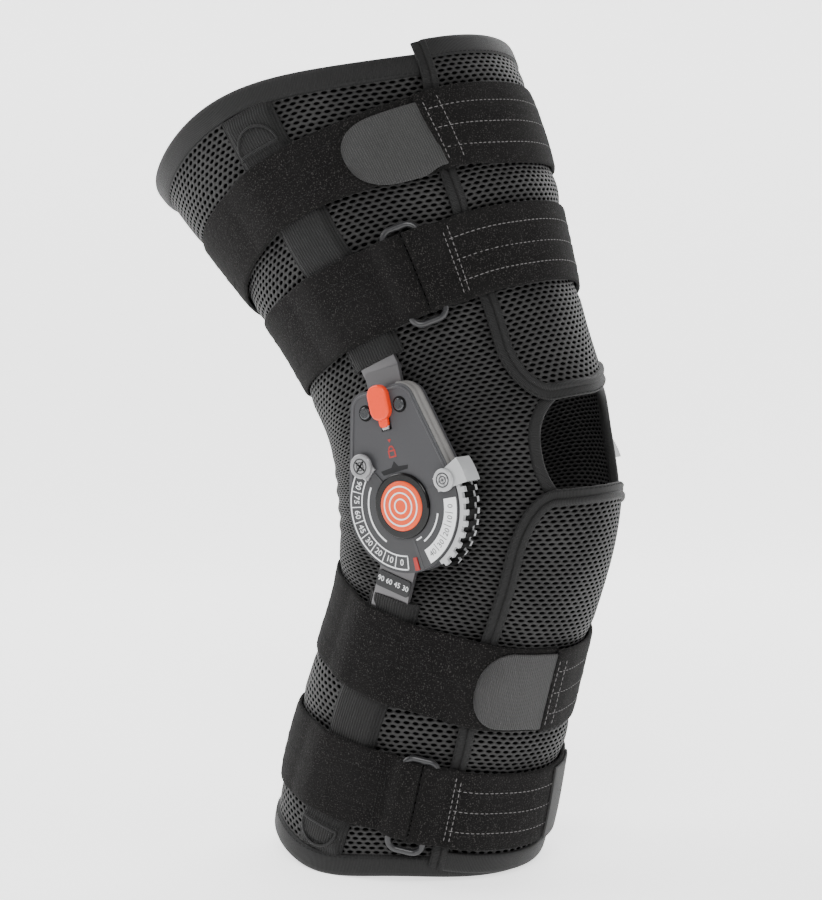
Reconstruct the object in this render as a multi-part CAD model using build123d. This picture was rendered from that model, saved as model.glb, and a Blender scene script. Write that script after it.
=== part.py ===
from build123d import *
from math import acos, atan2, ceil, cos, hypot, radians, sin
import os
import numpy as np

# Wraparound knee brace for a right leg, shown bent 31 degrees. Millimetres, +Z up, -Y the front of the
# knee, +X medial. The origin is on the flexion axis, midway between the two hinge pivots.
# Distances "up the limb" are measured from the knee, positive up the thigh and negative down the calf.

# Leg form: the outer face of the sleeve, as ellipses set square to each limb's axis
THIGH_TILT = 24.0
CALF_TILT = -14.0
KNEE_TILT = 5.0
LEG_ROWS = (
    # up the limb, offset behind the limb's axis, half-width, half-depth
    (-200, 4.0, 62, 66.0),
    (-160, 3.5, 62, 69.0),
    (-110, 2.5, 60, 66.0),
    (-60, 0.0, 58, 64.0),
    (0, 5.0, 57, 73.0),
    (60, -5.0, 61, 71.0),
    (100, -5.0, 66, 76.5),
    (150, 0.0, 76, 88.0),
    (210, 12.0, 86, 99.0),
)
LOFT_AT = (-200, -165, -130, -95, -60, -30, 0, 30, 60, 90, 120, 150, 180, 216)

# Layers outside (+) or inside (-) the leg form: (inner side, inner depth, outer side, outer depth)
SLEEVE_LAYER = (-3.0, -3.0, 0.0, 0.0)
FLAP_LAYER = (0.15, 0.15, 2.1, 2.1)
BAR_LAYER = (0.7, 0.7, 2.7, 2.7)
CHANNEL_LAYER = (0.4, 0.4, 3.1, 3.1)
POCKET_LAYER = (0.15, 0.15, 3.8, 3.8)
STRAP_LAYER = (4.0, 2.3, 6.0, 4.3)
TAB_LAYER = (6.15, 4.45, 7.6, 5.9)

# Sleeve edges and the fold between thigh and calf
THIGH_RIM, THIGH_RIM_LEAN = 204.0, 3.7
CALF_RIM, CALF_RIM_LEAN = -185.0, -9.0
RIM_BINDING = 7.0
THIGH_SPAN = (30.0, 146.0)      # directions from the flexion axis, 0 backwards and 90 up
CALF_SPAN = (179.0, 318.0)
FOLD_RADIUS = 30.0
PATELLA_SIZE = (64.0, 60.0)
PATELLA_HEIGHT = 26.0
PATELLA_CORNER = 26.0

# Front flaps, as outlines across and up the limb
THIGH_FLAP = ((-39, 204), (-42.5, 130), (-30.5, 30), (46, 30), (66, 204))
CALF_FLAP = ((-40, 13), (-43, -172), (46, -172), (46, 6))
THIGH_FLAP_CORNER = 16.0
CALF_FLAP_CORNER = 18.0
FLAP_BINDING = 5.0

# Straps, 40 mm webbing: low edge, high edge, lean
UPPER_THIGH_STRAP = (136.0, 175.0, -3.0)
LOWER_THIGH_STRAP = (79.0, 119.0, 0.0)
UPPER_CALF_STRAP = (-99.0, -55.0, 2.0)
LOWER_CALF_STRAP = (-164.0, -124.0, -3.0)
UPPER_THIGH_TAB = (140.0, 177.0, 0.0)
UPPER_CALF_TAB = (-98.0, -60.0, 0.0)
LOWER_CALF_TAB = (-160.0, -124.0, 0.0)
TAB_EDGE = 3.0
TAB_ROUND = 0.3
# Strap and tab ends, in degrees round the limb
FAR_SEAM = 165.0                # where each front strap meets its back strap
UPPER_THIGH_ENDS = (52.0, 50.0)
UPPER_CALF_ENDS = (78.0, 76.0)
UPPER_THIGH_TAB_SPAN = (25.0, 53.0)
UPPER_CALF_TAB_SPAN = (43.0, 77.0)
LOWER_CALF_TAB_SPAN = (98.0, 122.0)
RING_AT = 30.0
RING_SIZE = (17.0, 47.0)
RING_CORNER = 5.0
RING_WIRE = 1.6
RING_GAP = 9.5

# Uprights
BAR_WIDTH = 20.0
THIGH_ARM_TILT, THIGH_ARM_LENGTH = 15.0, 66.0
THIGH_BAR_TILT, THIGH_BAR_LENGTH = 28.0, 126.0
CALF_ARM_TILT, CALF_ARM_LENGTH = 16.0, 40.0
CALF_BAR_TILT, CALF_BAR_LENGTH = 19.0, 118.0
JOG_LENGTH = 18.0
JOG_DROP = 1.5
POCKET_WIDTH = 30.0
CHANNEL_WIDTH = 21.2
THIGH_POCKET = (7.0, 135.0)     # from the top of the thigh arm
CALF_POCKET = (18.0, 127.0)     # from the end of the calf arm

# Hinge, as distances out from the middle of the knee along the flexion axis
BACK_PLATE_X = (58.6, 59.6)
CALF_ARM_X = (59.8, 62.0)
THIGH_ARM_X = (62.2, 64.4)
COVER_X = (62.2, 70.0)
COVER_ROOF = 2.2
COVER_WALL = 1.8
SKIRT_X = 59.0
SKIRT_CLEARANCE = 0.6
CALF_SWEEP = (233.0, 382.0)
DIAL_RADIUS = 32.0
COVER_CORNER = 9.0
COVER_CORNER_AT = (10.0, 48.0)  # across and up the thigh arm
COVER_EXIT = 44.0
DIAL_SPAN = (146.0, 402.0)
ARM_DISC_RADIUS = 27.0
BACK_PLATE_RADIUS = 24.0
PIN_RADIUS = 4.0
RUNNING = 0.05
CAP_RADIUS = 12.0
BEZEL_RADIUS = 15.6
SLOT_WIDTH = 6.0
SLOT_SPAN = (36.5, 55.5)
RIVET_AT = (10.2, 47.0)
RIVET_HEAD, RIVET_SHANK, RIVET_BOSS = 3.0, 1.5, 3.4
RACK_SPAN = (150.0, 230.0)
RACK_ROOT, RACK_TIP = 34.6, 36.2
RACK_X = (61.4, 67.6)
INNER_RAIL_X = (59.0, 61.2)
OUTER_RAIL_X = (67.8, 70.0)
RAIL_SETBACK = (0.6, 0.4)       # root and tip of the rails' teeth, inside those of the rack
RACK_TEETH = 9
TOOTH_WIDTH = 2.6
STOP_X = (70.7, 71.6, 73.2)     # foot, head, top of head
STOP_FOOT = (22.5, 31.5)
STOP_HALF_ANGLE = 9.0
FLEXION_STOP_AT = 37.0
FLEXION_HEAD_AT, FLEXION_HEAD_RADIUS = 29.0, 6.0
EXTENSION_STOP_AT = 150.0
EXTENSION_HEAD_AT, EXTENSION_HEAD_RADIUS = 28.0, 5.5
EXTENSION_LEG = (36.7, 39.5)
EXTENSION_LEG_X = 60.5
HEAD_EDGE = 0.8
LOCK_AT = 50.0                  # up the thigh arm
LOCK_BUTTON = (11.0, 17.0, 5.2)
LOCK_BUTTON_HEIGHT = 3.4
LOCK_TONGUE = (5.0, 7.0, 2.0)
LOCK_TONGUE_DROP, LOCK_TONGUE_HEIGHT = 8.5, 1.8
LOCK_STEM = (5.6, 9.0)
LOCK_SHOE = (9.0, 10.0)
LOCK_SHOE_X = (64.8, 66.6)
SCALE_PLATE_AT = 40.5           # down the calf arm
SCALE_PLATE = (19.6, 8.0, 1.5)
BIG = 420.0


def station(row):
    """Distance, tilt, centre and half-axes of one given ellipse of the leg form."""
    s, offset, half_width, half_depth = row
    tilt = THIGH_TILT if s > 0 else CALF_TILT if s < 0 else KNEE_TILT
    up, out = cos(radians(tilt)), sin(radians(tilt))
    return s, tilt, s * out + offset * up, s * up - offset * out, half_width, half_depth


STATIONS = np.array([station(row) for row in LEG_ROWS])
SLOPES = np.gradient(STATIONS, STATIONS[:, 0], axis=0)


def section(s):
    """Tilt, centre y, centre z, half-width and half-depth of the leg form at s up the limb."""
    places = STATIONS[:, 0]
    i = min(max(int(np.searchsorted(places, s)) - 1, 0), len(places) - 2)
    span = places[i + 1] - places[i]
    u = (s - places[i]) / span
    from_low = (2 * u**3 - 3 * u**2 + 1) * STATIONS[i] + (u**3 - 2 * u**2 + u) * span * SLOPES[i]
    from_high = (3 * u**2 - 2 * u**3) * STATIONS[i + 1] + (u**3 - u**2) * span * SLOPES[i + 1]
    return (from_low + from_high)[1:]


def limb_plane(tilt, origin=(0, 0, 0)):
    """Plane square to a limb: X across the knee, Y backwards, Z up the limb."""
    return Plane(origin=origin, x_dir=(1, 0, 0), z_dir=(0, sin(radians(tilt)), cos(radians(tilt))))


THIGH = limb_plane(THIGH_TILT)
CALF = limb_plane(CALF_TILT)


def leg_solid(side, depth):
    """The leg form grown by side across the knee and by depth front to back."""
    faces = []
    for s in LOFT_AT:
        tilt, y, z, half_width, half_depth = section(s)
        faces.append(limb_plane(tilt, (0, y, z)) * Ellipse(half_width + side, half_depth + depth))
    return loft(faces)


def shell(layer):
    inner_side, inner_depth, outer_side, outer_depth = layer
    return leg_solid(outer_side, outer_depth) - leg_solid(inner_side, inner_depth)


def slab(limb, low, high, lean=0.0):
    """Space between two planes across a limb, higher at the back where lean is positive."""
    middle = Pos(0, 0, (low + high) / 2) * Rot(X=lean)
    return limb.location * middle * Box(BIG, BIG, (high - low) * cos(radians(lean)))


def sector(limb, s, start, end):
    """Wedge about the leg's centre line near s: 0 degrees at -X, 90 at the front, 180 at +X."""
    _, y, z, half_width, half_depth = section(s)
    centre = limb.to_local_coords(Vector(0, y, z))
    steps = ceil((end - start) / 30)
    corners = [(centre.X, centre.Y)]
    for i in range(steps + 1):
        turn = radians(start + (end - start) * i / steps)
        corners.append((centre.X - 2 * half_width * cos(turn), centre.Y - 2 * half_depth * sin(turn)))
    outline = make_face(Polyline(*corners, close=True))
    return limb.location * Pos(0, 0, s - 60) * extrude(outline, 120)


def wedge(start, end, reach=60.0):
    """Flat wedge about the flexion axis, drawn in Y and Z: 0 degrees backwards, 90 up."""
    steps = ceil((end - start) / 30)
    corners = [(0, 0)]
    for i in range(steps + 1):
        turn = radians(start + (end - start) * i / steps)
        corners.append((reach * cos(turn), reach * sin(turn)))
    return make_face(Polyline(*corners, close=True))


def across(sketch, low=-BIG / 2, high=BIG / 2):
    """A sketch in Y and Z, extruded along the flexion axis from low to high."""
    return extrude(Plane.YZ.offset(low) * sketch, high - low)


def strip(width, low, high):
    """Upright rectangle from low to high."""
    return Pos(0, (low + high) / 2) * Rectangle(width, high - low)


def one(shape):
    """The largest solid of a cut shape."""
    return max(shape.solids(), key=lambda solid: solid.volume)


def mirrored(shape):
    return mirror(shape, about=Plane.YZ)


# Sleeve -----------------------------------------------------------------------------------------------

def patella_opening():
    outline = RectangleRounded(*PATELLA_SIZE, PATELLA_CORNER)
    front = Plane(origin=(0, -20, PATELLA_HEIGHT), x_dir=(1, 0, 0), z_dir=(0, -1, 0))
    return extrude(front * outline, 100)


def sleeve_nodes():
    tube = shell(SLEEVE_LAYER) - patella_opening()
    thigh_zone = across(wedge(*THIGH_SPAN, BIG) - Circle(FOLD_RADIUS))
    calf_zone = across(wedge(*CALF_SPAN, BIG) - Circle(FOLD_RADIUS))
    body = slab(THIGH, -BIG, THIGH_RIM - RIM_BINDING, THIGH_RIM_LEAN)
    body = body & slab(CALF, CALF_RIM + RIM_BINDING, BIG, CALF_RIM_LEAN)
    fabric = tube & body
    top = tube & slab(THIGH, THIGH_RIM - RIM_BINDING, THIGH_RIM, THIGH_RIM_LEAN)
    bottom = tube & slab(CALF, CALF_RIM, CALF_RIM + RIM_BINDING, CALF_RIM_LEAN)
    return {
        "thigh_sleeve": fabric & thigh_zone,
        "calf_sleeve": fabric & calf_zone,
        "knee_sleeve": fabric - thigh_zone - calf_zone,
        "thigh_rim_binding": top,
        "calf_rim_binding": bottom,
    }


def flap(layer, limb, corners, round_corner, radius):
    """A front panel and the binding tape round it."""
    front = Plane(origin=(0, 0, 0), x_dir=(1, 0, 0), z_dir=tuple(-limb.y_dir))
    face = make_face(Polyline(*corners, close=True))
    near = face.vertices().sort_by_distance(Vector(*round_corner, 0))[0]
    outline = fillet(near, radius)
    inner = offset(outline, -FLAP_BINDING)
    panel = layer & extrude(front * inner, BIG / 2)
    tape = layer & extrude(front * (outline - inner), BIG / 2)
    return one(panel), one(tape)


# Straps -----------------------------------------------------------------------------------------------

def strap(layer, limb, size, start, end):
    low, high, lean = size
    middle = (low + high) / 2
    return one(layer & slab(limb, low, high, lean) & sector(limb, middle, start, end))


def hook_tab(layer, limb, size, start, end):
    """Grey hook pad over a strap, with its free end, on the near side, rounded."""
    pad = strap(layer, limb, size, start, end)
    ends = sorted(pad.edges(), key=lambda edge: edge.center().X)
    short = [edge for edge in ends if edge.length < TAB_EDGE]
    return fillet(short[:2], (size[1] - size[0]) * TAB_ROUND)


def on_leg(s, turn, layer):
    """Point halfway through a layer, at s up the limb and turn degrees round it."""
    tilt, y, z, half_width, half_depth = section(s)
    side = half_width + (layer[0] + layer[2]) / 2
    depth = half_depth + (layer[1] + layer[3]) / 2
    angle = radians(turn)
    across_limb = Vector(-side * cos(angle), -depth * sin(angle), 0)
    return limb_plane(tilt, (0, y, z)).from_local_coords(across_limb)


def ring(size):
    """Rectangular wire ring that joins a front strap to a back strap."""
    low, high, _ = size
    up = on_leg(high, RING_AT, STRAP_LAYER) - on_leg(low, RING_AT, STRAP_LAYER)
    middle = (low + high) / 2
    forward = on_leg(middle, RING_AT + 5, STRAP_LAYER) - on_leg(middle, RING_AT - 5, STRAP_LAYER)
    outward = up.cross(forward)
    place = (on_leg(high, RING_AT, STRAP_LAYER) + on_leg(low, RING_AT, STRAP_LAYER)) / 2
    plane = Plane(origin=place, x_dir=forward, z_dir=outward)
    outer = RectangleRounded(RING_SIZE[0], RING_SIZE[1], RING_CORNER)
    wire = plane * outer.wire()
    start = wire @ 0
    profile = Plane(origin=start, z_dir=wire % 0) * Circle(RING_WIRE)
    return sweep(profile, path=wire)


# Uprights and pockets -----------------------------------------------------------------------------------

def thigh_line():
    """Place of the thigh bar: the top of the thigh arm, turned to the bar's tilt."""
    top = THIGH_ARM_LENGTH - 4
    arm = radians(THIGH_ARM_TILT)
    return Pos(top * sin(arm), top * cos(arm)) * Rot(Z=-THIGH_BAR_TILT)


def calf_line():
    """Place of the calf bar: the end of the calf arm, turned to the bar's tilt, with Y down the calf."""
    arm = radians(CALF_ARM_TILT)
    return Pos(CALF_ARM_LENGTH * sin(arm), -CALF_ARM_LENGTH * cos(arm)) * Rot(Z=180 + CALF_BAR_TILT)


def thigh_upright(bar_layer):
    arm = Circle(ARM_DISC_RADIUS) + strip(BAR_WIDTH, 0, THIGH_ARM_LENGTH)
    arm = arm - Circle(PIN_RADIUS)
    for side in (-1, 1):
        at = Pos(side * RIVET_AT[0], RIVET_AT[1])
        arm = arm + at * Circle(RIVET_BOSS) - at * Circle(RIVET_SHANK)
    plate = across(Rot(Z=-THIGH_ARM_TILT) * arm, *THIGH_ARM_X)
    bar = bar_layer & across(thigh_line() * strip(BAR_WIDTH, 0, THIGH_BAR_LENGTH), 0)
    return one(plate + bar)


def calf_upright(bar_layer):
    arm = Circle(ARM_DISC_RADIUS) + strip(BAR_WIDTH, -CALF_ARM_LENGTH - 4, 0)
    arm = arm - Circle(PIN_RADIUS + RUNNING)
    plate = across(Rot(Z=CALF_ARM_TILT) * arm, *CALF_ARM_X)
    inner, outer = CALF_ARM_X
    corners = (
        (inner, 0),
        (outer, 0),
        (outer - JOG_DROP, JOG_LENGTH),
        (outer - JOG_DROP, JOG_LENGTH + 3),
        (inner - JOG_DROP, JOG_LENGTH + 3),
        (inner - JOG_DROP, JOG_LENGTH),
    )
    down = radians(CALF_BAR_TILT)
    arm_end = radians(CALF_ARM_TILT)
    start = (0, CALF_ARM_LENGTH * sin(arm_end), -CALF_ARM_LENGTH * cos(arm_end))
    edge_on = Plane(origin=start, x_dir=(1, 0, 0), z_dir=(0, cos(down), sin(down)))
    jog_face = make_face(Polyline(*corners, close=True))
    jog = extrude(edge_on * jog_face, BAR_WIDTH / 2, both=True)
    span = strip(BAR_WIDTH, JOG_LENGTH, CALF_BAR_LENGTH)
    bar = bar_layer & across(calf_line() * span, 0)
    return one(plate + jog + bar)


def pocket(pocket_layer, channel_layer, line, span, bar_end):
    """Webbing pocket sewn to the sleeve, open at the hinge end."""
    low, high = span
    outer = pocket_layer & across(line * strip(POCKET_WIDTH, low, high), 0)
    channel = channel_layer & across(line * strip(CHANNEL_WIDTH, low - 5, bar_end + 2), 0)
    return one(outer - channel)


# Hinge ------------------------------------------------------------------------------------------------

def cover_outline(inset=0.0):
    """Outline round the dial and the two upper corners of the cover."""
    big, small = DIAL_RADIUS - inset, COVER_CORNER - inset
    x, y = COVER_CORNER_AT
    turn = atan2(x, y) + acos((big - small) / hypot(x, y))
    out, up = sin(turn), cos(turn)
    right = ((big * out, big * up), (x + small * out, y + small * up), (x, y + small))
    left = tuple((-a, b) for a, b in reversed(right))
    sides = make_face(Polyline(*right, *left, close=True))
    return Circle(big) + sides + Pos(x, y) * Circle(small) + Pos(-x, y) * Circle(small)


def along_arm(sketch):
    return Rot(Z=-THIGH_ARM_TILT) * sketch


def hinge_cover():
    outer = cover_outline()
    inner = cover_outline(COVER_WALL)
    low, high = COVER_X
    cover = across(along_arm(outer), low, high) - across(along_arm(inner), low, high - COVER_ROOF)
    skirt = across(along_arm(outer - inner), SKIRT_X, low) - across(wedge(*CALF_SWEEP), SKIRT_X, low)
    cover = cover + (skirt - leg_solid(SKIRT_CLEARANCE, SKIRT_CLEARANCE))
    exit_slot = strip(BAR_WIDTH + 4, COVER_EXIT, COVER_EXIT + 30)
    cover = cover - across(along_arm(exit_slot), SKIRT_X, THIGH_ARM_X[1] + 0.2)
    holes = Circle(PIN_RADIUS) + strip(SLOT_WIDTH, *SLOT_SPAN)
    for side in (-1, 1):
        holes = holes + Pos(side * RIVET_AT[0], RIVET_AT[1]) * Circle(RIVET_SHANK)
    return one(cover - across(along_arm(holes), high - COVER_ROOF - 1, high + 1))


def hinge_pin():
    return across(Circle(PIN_RADIUS), BACK_PLATE_X[0], COVER_X[1])


def back_plate():
    return across(Circle(BACK_PLATE_RADIUS) - Circle(PIN_RADIUS), *BACK_PLATE_X)


def dial_plate():
    """Printed dial round the cap, cut away below the slot."""
    face = COVER_X[1]
    ring_face = Circle(DIAL_RADIUS - 0.5) - Circle(BEZEL_RADIUS + 0.1)
    return across(ring_face & wedge(*DIAL_SPAN), face, face + 0.5)


def cap_bezel():
    face = COVER_X[1]
    blank = across(Circle(BEZEL_RADIUS), face, face + 1.8)
    rounded = fillet(blank.faces().sort_by(Axis.X)[-1].edges(), 0.8)
    return rounded - across(Circle(CAP_RADIUS), face, face + 2)


def pivot_cap():
    face = COVER_X[1]
    blank = across(Circle(CAP_RADIUS), face, face + 2.4)
    return fillet(blank.faces().sort_by(Axis.X)[-1].edges(), 1.2)


def rivets():
    face = COVER_X[1]
    solids = []
    for side in (-1, 1):
        at = Pos(side * RIVET_AT[0], RIVET_AT[1])
        shank = across(along_arm(at * Circle(RIVET_SHANK)), THIGH_ARM_X[0], face)
        head = across(along_arm(at * Circle(RIVET_HEAD)), face, face + 1.2)
        head = fillet(head.faces().sort_by(Axis.X)[-1].edges(), 0.7)
        solids.append((shank + head).solid())
    return Compound(children=solids)


def toothed_arc(root, tip, low, high):
    """Arc round the front rim of the dial with square teeth on its outer face."""
    start, end = RACK_SPAN
    band = (Circle(root) - Circle(DIAL_RADIUS)) & wedge(start, end)
    for i in range(RACK_TEETH):
        turn = start + (end - start) * (i + 0.5) / RACK_TEETH
        tooth = Pos((root + tip) / 2 - 0.2, 0) * Rectangle(tip - root + 0.4, TOOTH_WIDTH)
        band = band + Rot(Z=turn) * tooth
    return across(band, low, high)


def stop_rack():
    return toothed_arc(RACK_ROOT, RACK_TIP, *RACK_X)


def rack_rails():
    root, tip = RACK_ROOT - RAIL_SETBACK[0], RACK_TIP - RAIL_SETBACK[1]
    rails = [toothed_arc(root, tip, *span).solid() for span in (INNER_RAIL_X, OUTER_RAIL_X)]
    return Compound(children=rails)


def arc_band(span, middle):
    inner, outer = span
    return (Circle(outer) - Circle(inner)) & wedge(middle - STOP_HALF_ANGLE, middle + STOP_HALF_ANGLE)


def stop_head(angle, at, radius):
    head = across(Rot(Z=angle) * Pos(at, 0) * Circle(radius), *STOP_X[1:])
    return fillet(head.faces().sort_by(Axis.X)[-1].edges(), HEAD_EDGE)


def flexion_stop():
    foot = across(arc_band(STOP_FOOT, FLEXION_STOP_AT), *STOP_X[:2])
    return one(foot + stop_head(FLEXION_STOP_AT, FLEXION_HEAD_AT, FLEXION_HEAD_RADIUS))


def extension_stop():
    foot_span = (STOP_FOOT[0], EXTENSION_LEG[1])
    foot = across(arc_band(foot_span, EXTENSION_STOP_AT), *STOP_X[:2])
    leg = across(arc_band(EXTENSION_LEG, EXTENSION_STOP_AT), EXTENSION_LEG_X, STOP_X[0])
    return one(foot + leg + stop_head(EXTENSION_STOP_AT, EXTENSION_HEAD_AT, EXTENSION_HEAD_RADIUS))


def lock_slide():
    face = COVER_X[1]
    middle = Pos(0, LOCK_AT)
    low = face + 0.2
    button = across(along_arm(middle * RectangleRounded(*LOCK_BUTTON)), low, face + LOCK_BUTTON_HEIGHT)
    button = fillet(button.faces().sort_by(Axis.X)[-1].edges(), 1.0)
    tongue_at = Pos(0, LOCK_AT - LOCK_TONGUE_DROP)
    tongue = across(along_arm(tongue_at * RectangleRounded(*LOCK_TONGUE)), low, face + LOCK_TONGUE_HEIGHT)
    stem = across(along_arm(middle * Rectangle(*LOCK_STEM)), LOCK_SHOE_X[1] - 0.6, face + 0.3)
    shoe = across(along_arm(middle * Rectangle(*LOCK_SHOE)), *LOCK_SHOE_X)
    return one(button + tongue + stem + shoe)


def scale_plate():
    """Numbered plate on the calf arm, just below the dial."""
    outline = Pos(0, -SCALE_PLATE_AT) * RectangleRounded(*SCALE_PLATE)
    return across(Rot(Z=CALF_ARM_TILT) * outline, CALF_ARM_X[1], CALF_ARM_X[1] + 0.8)


def build():
    nodes = sleeve_nodes()
    flap_layer = shell(FLAP_LAYER)
    strap_layer = shell(STRAP_LAYER)
    tab_layer = shell(TAB_LAYER)
    bar_layer = shell(BAR_LAYER)
    pocket_layer = shell(POCKET_LAYER)
    channel_layer = shell(CHANNEL_LAYER)

    panel, tape = flap(flap_layer, THIGH, THIGH_FLAP, THIGH_FLAP[2], THIGH_FLAP_CORNER)
    nodes["thigh_flap"], nodes["thigh_flap_binding"] = panel, tape
    panel, tape = flap(flap_layer, CALF, CALF_FLAP, CALF_FLAP[0], CALF_FLAP_CORNER)
    nodes["calf_flap"], nodes["calf_flap_binding"] = panel, tape

    before_ring, after_ring = RING_AT - RING_GAP, RING_AT + RING_GAP
    for name, limb, size, front_start, back_end in (
        ("upper_thigh_strap", THIGH, UPPER_THIGH_STRAP, *UPPER_THIGH_ENDS),
        ("lower_thigh_strap", THIGH, LOWER_THIGH_STRAP, after_ring, before_ring),
        ("upper_calf_strap", CALF, UPPER_CALF_STRAP, *UPPER_CALF_ENDS),
        ("lower_calf_strap", CALF, LOWER_CALF_STRAP, after_ring, before_ring),
    ):
        nodes[name + "_front"] = strap(strap_layer, limb, size, front_start, FAR_SEAM)
        nodes[name + "_back"] = strap(strap_layer, limb, size, FAR_SEAM + 0.3, 360 + back_end)
    nodes["upper_thigh_hook_tab"] = hook_tab(tab_layer, THIGH, UPPER_THIGH_TAB, *UPPER_THIGH_TAB_SPAN)
    nodes["upper_calf_hook_tab"] = hook_tab(tab_layer, CALF, UPPER_CALF_TAB, *UPPER_CALF_TAB_SPAN)
    nodes["lower_calf_hook_tab"] = strap(tab_layer, CALF, LOWER_CALF_TAB, *LOWER_CALF_TAB_SPAN)
    nodes["lower_thigh_ring"] = ring(LOWER_THIGH_STRAP)
    nodes["lower_calf_ring"] = ring(LOWER_CALF_STRAP)

    medial = {
        "thigh_upright": thigh_upright(bar_layer),
        "calf_upright": calf_upright(bar_layer),
        "thigh_pocket": pocket(pocket_layer, channel_layer, thigh_line(), THIGH_POCKET, THIGH_BAR_LENGTH),
        "calf_pocket": pocket(pocket_layer, channel_layer, calf_line(), CALF_POCKET, CALF_BAR_LENGTH),
        "hinge_cover": hinge_cover(),
        "hinge_pin": hinge_pin(),
        "back_plate": back_plate(),
        "dial_plate": dial_plate(),
        "cap_bezel": cap_bezel(),
        "pivot_cap": pivot_cap(),
        "rivets": rivets(),
        "stop_rack": stop_rack(),
        "rack_rails": rack_rails(),
        "flexion_stop": flexion_stop(),
        "extension_stop": extension_stop(),
        "lock_slide": lock_slide(),
        "scale_plate": scale_plate(),
    }
    for name, shape in medial.items():
        nodes["medial_" + name] = shape
        nodes["lateral_" + name] = mirrored(shape)
    return nodes


os.makedirs("parts", exist_ok=True)
for node, shape in build().items():
    export_step(shape, "parts/" + node + ".step")
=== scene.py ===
import math
import random

import bpy
import numpy as np
from mathutils import Matrix, Vector


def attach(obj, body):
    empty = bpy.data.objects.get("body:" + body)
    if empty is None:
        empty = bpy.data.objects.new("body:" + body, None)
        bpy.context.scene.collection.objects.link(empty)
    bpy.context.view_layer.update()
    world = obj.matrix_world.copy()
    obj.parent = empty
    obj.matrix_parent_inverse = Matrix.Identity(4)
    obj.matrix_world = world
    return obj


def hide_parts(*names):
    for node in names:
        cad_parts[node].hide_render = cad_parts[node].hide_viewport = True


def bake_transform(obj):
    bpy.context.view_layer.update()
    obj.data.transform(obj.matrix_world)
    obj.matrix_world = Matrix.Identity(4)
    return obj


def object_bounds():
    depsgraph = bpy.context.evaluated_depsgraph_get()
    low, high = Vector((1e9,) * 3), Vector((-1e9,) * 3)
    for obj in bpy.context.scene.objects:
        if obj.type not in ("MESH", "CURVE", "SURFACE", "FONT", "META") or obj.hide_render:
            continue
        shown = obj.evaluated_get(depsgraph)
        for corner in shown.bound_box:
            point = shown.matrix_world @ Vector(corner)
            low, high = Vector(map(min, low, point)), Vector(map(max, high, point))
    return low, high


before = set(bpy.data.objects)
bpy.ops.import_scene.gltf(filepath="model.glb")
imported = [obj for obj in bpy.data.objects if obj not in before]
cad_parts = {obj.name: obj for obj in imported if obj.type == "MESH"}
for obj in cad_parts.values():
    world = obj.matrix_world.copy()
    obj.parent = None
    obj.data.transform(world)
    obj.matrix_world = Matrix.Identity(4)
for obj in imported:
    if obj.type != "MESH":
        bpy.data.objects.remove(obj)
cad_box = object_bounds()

# Knee brace. Lengths are in millimetres until a mesh is made; the frame is the CAD frame:
# the flexion axis is X through the origin, -Y is the front of the knee, -X the outer side.
# Places on the leg are (s, turn): s up the limb from the knee, turn round it in degrees,
# 0 at -X, 90 at the front, 180 at +X and -90 at the back. Angles are in degrees.
MM = 0.001
RNG = random.Random(7)

THIGH_TILT, CALF_TILT, KNEE_TILT = 24.0, -14.0, 5.0
LEG_ROWS = (
    (-200, 4.0, 62, 66.0),
    (-160, 3.5, 62, 69.0),
    (-110, 2.5, 60, 66.0),
    (-60, 0.0, 58, 64.0),
    (0, 5.0, 57, 73.0),
    (60, -5.0, 61, 71.0),
    (100, -5.0, 66, 76.5),
    (150, 0.0, 76, 88.0),
    (210, 12.0, 86, 99.0),
)

# Hinge: distances out along the flexion axis, radii, and places on an arm as (across, up)
FACE = 70.0
DIAL_TOP = 70.5
DIAL_RADIUS = 32.0
COVER_CORNER, COVER_CORNER_AT = 9.0, (10.0, 48.0)
ARM_TILT, CALF_ARM_TILT = 15.0, 16.0
RIVET_AT = (10.2, 47.0)
CAP_TOP = FACE + 2.4
STOP_TOP = 73.2
NUMBER_PLATE_AT, NUMBER_PLATE_TOP = 40.5, 62.85
PRINT = 0.12

# Uprights: the (y, z) where each bar starts, and its tilt
ARM, CALF_ARM = math.radians(ARM_TILT), math.radians(CALF_ARM_TILT)
THIGH_BAR = (62 * math.sin(ARM), 62 * math.cos(ARM), 28.0)
CALF_BAR = (40 * math.sin(CALF_ARM), -40 * math.cos(CALF_ARM), -19.0)

# Cloth
SLEEVE_THICK, FLAP_THICK, STRAP_THICK, PAD_THICK = 3.0, 1.9, 2.0, 1.4
FLAP_NEAR = {"thigh": 54.5, "calf": 46.5}
FLAP_FAR = {"thigh": 141.0, "calf": 139.0}
FLAP_END = {"thigh": 205.0, "calf": -174.0}
FLAP_SLANT = 9.0
STRAP_RADIUS = 72.0
STRAP_GAP = 0.3
RING_HEIGHT, RING_FOLD = 5.0, 2.7
POCKET_HALF = 15.0
POCKET_WINDOW = {"thigh": 184.0, "calf": -171.0}
POCKETS = {"thigh": (69.0, 204.0), "calf": (-185.0, -48.0)}


def station(row):
    s, offset, half_width, half_depth = row
    tilt = THIGH_TILT if s > 0 else CALF_TILT if s < 0 else KNEE_TILT
    up, out = math.cos(math.radians(tilt)), math.sin(math.radians(tilt))
    return s, tilt, s * out + offset * up, s * up - offset * out, half_width, half_depth


STATIONS = np.array([station(row) for row in LEG_ROWS])
PLACES = STATIONS[:, 0]
SLOPES = np.gradient(STATIONS, PLACES, axis=0)


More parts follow.
